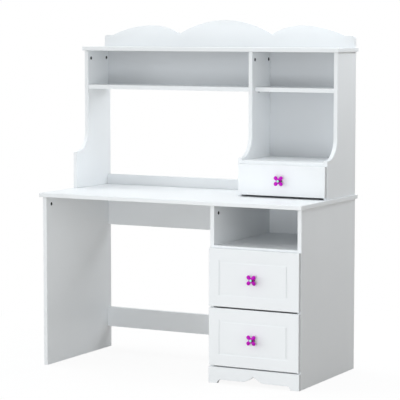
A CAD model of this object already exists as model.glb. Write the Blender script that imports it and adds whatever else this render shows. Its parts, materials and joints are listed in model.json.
import json
import math

import bmesh
import bpy
from mathutils import Matrix, Vector


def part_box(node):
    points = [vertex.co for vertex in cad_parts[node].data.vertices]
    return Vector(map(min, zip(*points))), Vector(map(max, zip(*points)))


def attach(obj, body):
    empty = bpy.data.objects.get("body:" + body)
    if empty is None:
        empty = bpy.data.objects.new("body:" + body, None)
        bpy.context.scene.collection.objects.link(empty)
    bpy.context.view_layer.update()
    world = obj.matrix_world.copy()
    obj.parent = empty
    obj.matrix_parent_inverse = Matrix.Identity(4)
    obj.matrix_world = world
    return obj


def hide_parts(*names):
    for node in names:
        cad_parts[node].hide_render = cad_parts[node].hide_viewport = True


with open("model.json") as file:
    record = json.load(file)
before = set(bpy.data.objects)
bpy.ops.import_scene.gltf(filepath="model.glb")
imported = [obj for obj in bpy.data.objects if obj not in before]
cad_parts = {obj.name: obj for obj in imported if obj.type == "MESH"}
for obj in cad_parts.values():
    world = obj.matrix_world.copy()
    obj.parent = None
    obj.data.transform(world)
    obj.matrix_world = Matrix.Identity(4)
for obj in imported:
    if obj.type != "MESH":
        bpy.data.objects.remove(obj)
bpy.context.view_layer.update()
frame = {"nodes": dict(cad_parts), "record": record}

DRAWERS = ("upper_drawer", "lower_drawer", "hutch_drawer")

# View of the photograph, in metres and degrees: from the front right, and slightly down
CAMERA_PLACE = Vector((3.6915, -6.9536, 1.4886))
CAMERA_TURN = 27.84
CAMERA_TILT = 5.479
CAMERA_LENS = 164.49
CAMERA_SENSOR = 36.0

# Colours, linear
WHITE_PAINT = (0.885, 0.905, 0.92)
WHITE_FILM = (0.71, 0.73, 0.75)
DRAWER_FILM = (0.82, 0.83, 0.82)
RUNNER_GREY = (0.60, 0.60, 0.57)
BEECH_LIGHT = (0.62, 0.42, 0.23)
BEECH_DARK = (0.45, 0.27, 0.12)
ZINC = (0.55, 0.55, 0.56)
CAM_BLACK = (0.012, 0.012, 0.014)
MAGENTA = (0.54, 0.002, 0.51)
MAROON = (0.10, 0.004, 0.028)
MINT = (0.42, 0.95, 0.70)

# How pale the left and right ends of the front boards are beside their faces
FRONT_ENDS = 0.76

# Finishes: each SCALE here is a noise scale, each RELIEF the height of a bump in metres, each DARK or
# PALE multiplies a colour, and each GLOSS is the range that is added to a finish's roughness
PAINT_TONE_SCALE = 2.2
PAINT_TONE_DARK = 0.97
PAINT_GLOSS_SCALE = 55
PAINT_GLOSS = (-0.05, 0.06)
PAINT_SPECULAR = 0.3
PAINT_RELIEF_SCALE = 420
PAINT_RELIEF = 0.00006
BEECH_SCALE = 900
BEECH_STRETCH = (1, 1, 0.08)
BEECH_ROUGHNESS = 0.7
BEECH_RELIEF = 0.0001
ZINC_SCALE = 350
ZINC_DARK = 0.8
ZINC_ROUGHNESS = (0.28, 0.45)
CAM_SCALE = 600
CAM_PALE = 2.5
CAM_ROUGHNESS = 0.6
CAM_SPECULAR = 0.15
CAM_RELIEF = 0.00008
PLASTIC_TONE_SCALE = 160
PLASTIC_DARK = 0.9
PLASTIC_GLOSS_SCALE = 700
PLASTIC_GLOSS = (-0.03, 0.05)
PLASTIC_RELIEF_SCALE = 900
PLASTIC_RELIEF = 0.00002

# The values that spread() takes for its low and high ends; most noise lies between them
SPREAD_FROM = 0.3
SPREAD_TO = 0.7

# Knobs: radii and lengths in metres
KNOB_PETAL = 0.0088
KNOB_REACH = 0.0174
KNOB_ARM = 0.0064
KNOB_HUB = 0.0120
KNOB_HALF_DEPTH = 0.0054
KNOB_STEM_BASE = 0.0080
KNOB_STEM_NECK = 0.0066
KNOB_EYE = 0.0052
KNOB_EYE_SHIFT = 0.0052
KNOB_VOXEL = 0.0006

# Knobs: the rounding of their skin, the petals' turns in degrees, and the mesh of the forms under it
KNOB_SMOOTHING = 0.5
KNOB_ROUNDS = 6
PETAL_TURNS = (45, 135, 225, 315)
BALL_SEGMENTS = 32
BALL_RINGS = 20
ARM_SEGMENTS = 24
STEM_SEGMENTS = 40

# Soft light from the world: the direction it comes from, as degrees round from the front to the
# sitter's right and degrees above the floor, and its strength
SKY = (
    (0, 8, 0.9),
    (45, 74, 1.75),
    (60, 8, 2.5),
    (257, 50, 4.2),
    (300, 8, 3.9),
    (330, 45, 0.75),
)
SKY_COLOUR = (0.975, 1.0, 1.012)
SKY_SHARPNESS = 14

# Soft boxes nearer to the object: place in metres and power in watts
SOFT_BOXES = (
    ((0.55, -2.8, 0.5), 18.0),
    ((0.4, 1.1, 1.7), 10.0),
    ((1.6, 0.35, 2.35), 10.0),
)
SOFT_BOX_SIZE = 0.8
SOFT_BOX_COLOUR = (0.96, 1.0, 1.035)
SOFT_BOX_AIM = Vector((0, 0, 0.8))

# Floor: grey for the light that it throws back and white for the camera. The share of plain white there
# is FLOOR_GLOW up to FLOOR_NEAR from the middle, and all of it from FLOOR_FAR on. Lengths in metres.
FLOOR_GREY = (0.43, 0.4, 0.37)
FLOOR_WHITE = (0.95, 0.95, 0.95)
FLOOR_SIZE = 40
FLOOR_DROP = 0.0005
FLOOR_NEAR = 0.7
FLOOR_FAR = 1.8
FLOOR_GLOW = 0.92


# Shader helpers

def new_material(name):
    material = bpy.data.materials.new(name)
    material.use_nodes = True
    shader = material.node_tree.nodes["Principled BSDF"]
    return material, material.node_tree, shader


def add(tree, kind, **settings):
    node = tree.nodes.new(kind)
    for key, setting in settings.items():
        if key in node.inputs:
            node.inputs[key].default_value = setting
        else:
            setattr(node, key, setting)
    return node


def calculate(tree, operation, first, second=None):
    # The second value, where there is one, is a number or comes from another node
    node = add(tree, "ShaderNodeMath", operation=operation)
    tree.links.new(first, node.inputs[0])
    if isinstance(second, (int, float)):
        node.inputs[1].default_value = second
    elif second is not None:
        tree.links.new(second, node.inputs[1])
    return node.outputs[0]


def noise(tree, scale, detail=3.0, stretch=None):
    # Noise in object space, which is the part's own frame in metres
    place = add(tree, "ShaderNodeTexCoord").outputs["Object"]
    if stretch:
        mapping = add(tree, "ShaderNodeMapping", Scale=stretch)
        tree.links.new(place, mapping.inputs["Vector"])
        place = mapping.outputs["Vector"]
    texture = add(tree, "ShaderNodeTexNoise", Scale=scale, Detail=detail)
    tree.links.new(place, texture.inputs["Vector"])
    return texture.outputs["Fac"]


def map_range(tree, factor, start, stop, low, high, **settings):
    node = add(tree, "ShaderNodeMapRange", **settings)
    node.inputs["From Min"].default_value = start
    node.inputs["From Max"].default_value = stop
    node.inputs["To Min"].default_value = low
    node.inputs["To Max"].default_value = high
    tree.links.new(factor, node.inputs["Value"])
    return node.outputs["Result"]


def spread(tree, factor, low, high):
    return map_range(tree, factor, SPREAD_FROM, SPREAD_TO, low, high)


def blend_colours(tree, factor, first, second):
    mix = add(tree, "ShaderNodeMix", data_type="RGBA")
    mix.inputs["A"].default_value = (*first, 1)
    mix.inputs["B"].default_value = (*second, 1)
    tree.links.new(factor, mix.inputs["Factor"])
    return mix.outputs["Result"]


def blend_shaders(tree, factor, first, second):
    mix = add(tree, "ShaderNodeMixShader")
    tree.links.new(factor, mix.inputs[0])
    tree.links.new(first, mix.inputs[1])
    tree.links.new(second, mix.inputs[2])
    return mix.outputs[0]


def shade(colour, share):
    return tuple(channel * share for channel in colour)


def dim_ends(tree, base, share):
    # Greyer where the board's ends face left or right
    facing = add(tree, "ShaderNodeSeparateXYZ")
    tree.links.new(add(tree, "ShaderNodeTexCoord").outputs["Normal"], facing.inputs[0])
    sideways = calculate(tree, "ABSOLUTE", facing.outputs["X"])
    mix = add(tree, "ShaderNodeMix", data_type="RGBA", blend_type="MULTIPLY")
    mix.inputs["B"].default_value = (share, share, share, 1)
    tree.links.new(base, mix.inputs["A"])
    tree.links.new(spread(tree, sideways, 0, 1), mix.inputs["Factor"])
    return mix.outputs["Result"]


def uneven_gloss(tree, shader, factor, roughness, gloss):
    low, high = gloss
    tree.links.new(spread(tree, factor, roughness + low, roughness + high), shader.inputs["Roughness"])


def bump(tree, shader, heights, distance):
    node = add(tree, "ShaderNodeBump", Strength=1.0, Distance=distance)
    tree.links.new(heights, node.inputs["Height"])
    tree.links.new(node.outputs["Normal"], shader.inputs["Normal"])


# Materials

def painted_board(name, colour, roughness, ends=1.0):
    # Sprayed paint: broad faint shifts of tone, fine uneven gloss and the ripple of dried spray
    material, tree, shader = new_material(name)
    tone = spread(tree, noise(tree, PAINT_TONE_SCALE), 0, 1)
    base = blend_colours(tree, tone, shade(colour, PAINT_TONE_DARK), colour)
    if ends < 1:
        base = dim_ends(tree, base, ends)
    tree.links.new(base, shader.inputs["Base Color"])
    uneven_gloss(tree, shader, noise(tree, PAINT_GLOSS_SCALE, detail=6), roughness, PAINT_GLOSS)
    shader.inputs["Specular IOR Level"].default_value = PAINT_SPECULAR
    bump(tree, shader, noise(tree, PAINT_RELIEF_SCALE, detail=2), PAINT_RELIEF)
    return material


def raw_beech():
    material, tree, shader = new_material("raw_beech")
    grain = noise(tree, BEECH_SCALE, detail=4, stretch=BEECH_STRETCH)
    base = blend_colours(tree, spread(tree, grain, 0, 1), BEECH_DARK, BEECH_LIGHT)
    tree.links.new(base, shader.inputs["Base Color"])
    shader.inputs["Roughness"].default_value = BEECH_ROUGHNESS
    bump(tree, shader, grain, BEECH_RELIEF)
    return material


def zinc_steel():
    material, tree, shader = new_material("zinc_steel")
    cloud = noise(tree, ZINC_SCALE, detail=5)
    base = blend_colours(tree, spread(tree, cloud, 0, 1), shade(ZINC, ZINC_DARK), ZINC)
    tree.links.new(base, shader.inputs["Base Color"])
    tree.links.new(spread(tree, cloud, *ZINC_ROUGHNESS), shader.inputs["Roughness"])
    shader.inputs["Metallic"].default_value = 1.0
    return material


def dark_cam():
    material, tree, shader = new_material("dark_cam")
    cloud = noise(tree, CAM_SCALE, detail=5)
    base = blend_colours(tree, spread(tree, cloud, 0, 1), CAM_BLACK, shade(CAM_BLACK, CAM_PALE))
    tree.links.new(base, shader.inputs["Base Color"])
    shader.inputs["Roughness"].default_value = CAM_ROUGHNESS
    shader.inputs["Specular IOR Level"].default_value = CAM_SPECULAR
    bump(tree, shader, cloud, CAM_RELIEF)
    return material


def moulded_plastic(name, colour, roughness, specular):
    material, tree, shader = new_material(name)
    tone = spread(tree, noise(tree, PLASTIC_TONE_SCALE), 0, 1)
    base = blend_colours(tree, tone, shade(colour, PLASTIC_DARK), colour)
    tree.links.new(base, shader.inputs["Base Color"])
    uneven_gloss(tree, shader, noise(tree, PLASTIC_GLOSS_SCALE), roughness, PLASTIC_GLOSS)
    shader.inputs["Specular IOR Level"].default_value = specular
    bump(tree, shader, noise(tree, PLASTIC_RELIEF_SCALE), PLASTIC_RELIEF)
    return material


MATERIALS = {
    "white_board": painted_board("white_board", WHITE_PAINT, 0.42),
    "front_board": painted_board("front_board", WHITE_PAINT, 0.42, ends=FRONT_ENDS),
    "thin_board": painted_board("thin_board", WHITE_FILM, 0.55),
    "drawer_board": painted_board("drawer_board", DRAWER_FILM, 0.5),
    "runner_strip": moulded_plastic("runner_strip", RUNNER_GREY, 0.5, 0.5),
    "raw_beech": raw_beech(),
    "steel": zinc_steel(),
    "dark_cam": dark_cam(),
    "magenta_knob": moulded_plastic("magenta_knob", MAGENTA, 0.3, 0.2),
    "maroon_stem": moulded_plastic("maroon_stem", MAROON, 0.45, 0.2),
    "mint_button": moulded_plastic("mint_button", MINT, 0.25, 0.5),
}

# Nodes with another finish than their slot's
FINISHES = {f"{drawer}_front": "front_board" for drawer in DRAWERS}
FINISHES["base_valance"] = "front_board"
FINISHES["pedestal_back"] = "white_board"


def dress_nodes():
    slots = {entry["node"]: entry["material_slot"] for entry in frame["record"]["subparts"]}
    for node, obj in frame["nodes"].items():
        obj.data.materials.clear()
        obj.data.materials.append(MATERIALS[FINISHES.get(node, slots[node])])


# Knobs: four round petals on arms round a hub, moulded in one piece with the stem

def add_ball(shape, centre, radius):
    flat = Matrix.Diagonal((radius, KNOB_HALF_DEPTH, radius, 1))
    bmesh.ops.create_uvsphere(
        shape, u_segments=BALL_SEGMENTS, v_segments=BALL_RINGS, radius=1,
        matrix=Matrix.Translation(centre) @ flat)


def flower_shape(middle, stem_length):
    shape = bmesh.new()
    for turn in PETAL_TURNS:
        outward = Matrix.Rotation(math.radians(turn), 4, "Y")
        add_ball(shape, middle + outward @ Vector((0, 0, KNOB_REACH)), KNOB_PETAL)
        half = Matrix.Translation(Vector((0, 0, KNOB_REACH / 2)))
        bmesh.ops.create_cone(
            shape, cap_ends=True, segments=ARM_SEGMENTS, radius1=KNOB_ARM, radius2=KNOB_ARM,
            depth=KNOB_REACH, matrix=Matrix.Translation(middle) @ outward @ half)
    add_ball(shape, middle, KNOB_HUB)
    stem = Matrix.Translation(middle + Vector((0, stem_length / 2, 0)))
    along_y = Matrix.Rotation(math.radians(-90), 4, "X")
    bmesh.ops.create_cone(
        shape, cap_ends=True, segments=STEM_SEGMENTS,
        radius1=KNOB_STEM_NECK, radius2=KNOB_STEM_BASE,
        depth=stem_length, matrix=stem @ along_y)
    return shape


def moulded(obj):
    # Melts overlapping forms into one skin and rounds where they meet
    remesh = obj.modifiers.new("skin", "REMESH")
    remesh.mode = "VOXEL"
    remesh.voxel_size = KNOB_VOXEL
    smooth = obj.modifiers.new("rounding", "SMOOTH")
    smooth.factor = KNOB_SMOOTHING
    smooth.iterations = KNOB_ROUNDS
    bpy.context.view_layer.update()
    evaluated = obj.evaluated_get(bpy.context.evaluated_depsgraph_get())
    mesh = bpy.data.meshes.new_from_object(evaluated)
    obj.modifiers.clear()
    obj.data = mesh
    mesh.shade_smooth()


def paint_knob(knob, middle):
    # The stem is dark, and so is an eye on the front to the right of the button
    knob.data.materials.append(MATERIALS["magenta_knob"])
    knob.data.materials.append(MATERIALS["maroon_stem"])
    eye = middle + Vector((KNOB_EYE_SHIFT, 0, 0))
    for face in knob.data.polygons:
        across = face.center - eye
        on_stem = face.center.y > middle.y + KNOB_HALF_DEPTH
        in_eye = face.center.y < middle.y and math.hypot(across.x, across.z) < KNOB_EYE
        face.material_index = int(on_stem or in_eye)


def flower_knob(drawer):
    low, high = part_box(f"{drawer}_knob")
    middle = Vector(((low.x + high.x) / 2, low.y + KNOB_HALF_DEPTH, (low.z + high.z) / 2))
    shape = flower_shape(middle, high.y - middle.y)
    mesh = bpy.data.meshes.new(f"{drawer}_flower")
    shape.to_mesh(mesh)
    shape.free()
    knob = bpy.data.objects.new(f"{drawer}_flower", mesh)
    bpy.context.collection.objects.link(knob)
    moulded(knob)
    paint_knob(knob, middle)
    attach(knob, drawer)
    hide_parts(f"{drawer}_knob")


# Stage: a world that lights the object but looks white, soft boxes, and a white floor

def camera_white(tree):
    # A factor that is 1 where the camera, a mirror-like surface or clear glass sees the background
    path = add(tree, "ShaderNodeLightPath")
    seen = path.outputs["Is Camera Ray"]
    for ray in ("Is Glossy Ray", "Is Transmission Ray"):
        seen = calculate(tree, "MAXIMUM", seen, path.outputs[ray])
    return seen


def sky_glow(tree, turn, rise, strength):
    # Light that is strongest from one direction and fades round it
    around = Matrix.Rotation(math.radians(turn), 3, "Z")
    upward = Matrix.Rotation(math.radians(-rise), 3, "X")
    place = add(tree, "ShaderNodeTexCoord").outputs["Generated"]
    facing = add(tree, "ShaderNodeVectorMath", operation="DOT_PRODUCT")
    facing.inputs[1].default_value = around @ upward @ Vector((0, -1, 0))
    tree.links.new(place, facing.inputs[0])
    ahead = calculate(tree, "MAXIMUM", facing.outputs["Value"], 0.0)
    fade = calculate(tree, "POWER", ahead, SKY_SHARPNESS)
    glow = add(tree, "ShaderNodeBackground", Color=(*SKY_COLOUR, 1))
    tree.links.new(calculate(tree, "MULTIPLY", fade, strength), glow.inputs["Strength"])
    return glow.outputs[0]


def white_world():
    world = bpy.data.worlds.new("white_world")
    world.use_nodes = True
    tree = world.node_tree
    tree.nodes.clear()
    glows = [sky_glow(tree, *row) for row in SKY]
    light = glows[0]
    for glow in glows[1:]:
        both = add(tree, "ShaderNodeAddShader")
        tree.links.new(light, both.inputs[0])
        tree.links.new(glow, both.inputs[1])
        light = both.outputs[0]
    white = add(tree, "ShaderNodeBackground", Color=(1, 1, 1, 1), Strength=1.0)
    mixed = blend_shaders(tree, camera_white(tree), light, white.outputs[0])
    output = add(tree, "ShaderNodeOutputWorld")
    tree.links.new(mixed, output.inputs[0])
    bpy.context.scene.world = world


def soft_box(place, power):
    lamp = bpy.data.lights.new("soft_box", "AREA")
    lamp.energy = power
    lamp.color = SOFT_BOX_COLOUR
    lamp.size = SOFT_BOX_SIZE
    obj = bpy.data.objects.new("soft_box", lamp)
    bpy.context.collection.objects.link(obj)
    obj.location = place
    obj.rotation_euler = (SOFT_BOX_AIM - Vector(place)).to_track_quat("-Z", "Y").to_euler()
    obj.visible_camera = False
    obj.visible_glossy = False


def floor_material():
    # Lit near the object, so that its shadow stays, and plain white further out
    material = bpy.data.materials.new("floor")
    material.use_nodes = True
    tree = material.node_tree
    tree.nodes.clear()
    seen = camera_white(tree)
    lit = add(tree, "ShaderNodeBsdfDiffuse")
    tree.links.new(blend_colours(tree, seen, FLOOR_GREY, FLOOR_WHITE), lit.inputs["Color"])
    white = add(tree, "ShaderNodeEmission", Color=(1, 1, 1, 1), Strength=1.0)
    place = add(tree, "ShaderNodeTexCoord")
    length = add(tree, "ShaderNodeVectorMath", operation="LENGTH")
    tree.links.new(place.outputs["Object"], length.inputs[0])
    glow = map_range(
        tree, length.outputs["Value"], FLOOR_NEAR, FLOOR_FAR, FLOOR_GLOW, 1.0,
        interpolation_type="SMOOTHSTEP")
    share = calculate(tree, "MULTIPLY", glow, seen)
    mixed = blend_shaders(tree, share, lit.outputs[0], white.outputs[0])
    output = add(tree, "ShaderNodeOutputMaterial")
    tree.links.new(mixed, output.inputs[0])
    return material


def white_floor():
    bpy.ops.mesh.primitive_plane_add(size=FLOOR_SIZE, location=(0, 0, -FLOOR_DROP))
    floor = bpy.context.object
    floor.name = "floor"
    floor.data.materials.append(floor_material())


def photo_camera():
    camera = bpy.data.cameras.new("photo_camera")
    camera.lens = CAMERA_LENS
    camera.sensor_width = CAMERA_SENSOR
    obj = bpy.data.objects.new("photo_camera", camera)
    bpy.context.collection.objects.link(obj)
    obj.location = CAMERA_PLACE
    obj.rotation_euler = (math.radians(90 - CAMERA_TILT), 0, math.radians(CAMERA_TURN))
    bpy.context.scene.camera = obj


dress_nodes()
for drawer in DRAWERS:
    flower_knob(drawer)
white_world()
for place, power in SOFT_BOXES:
    soft_box(place, power)
white_floor()
photo_camera()
bpy.context.scene.view_settings.view_transform = "Standard"
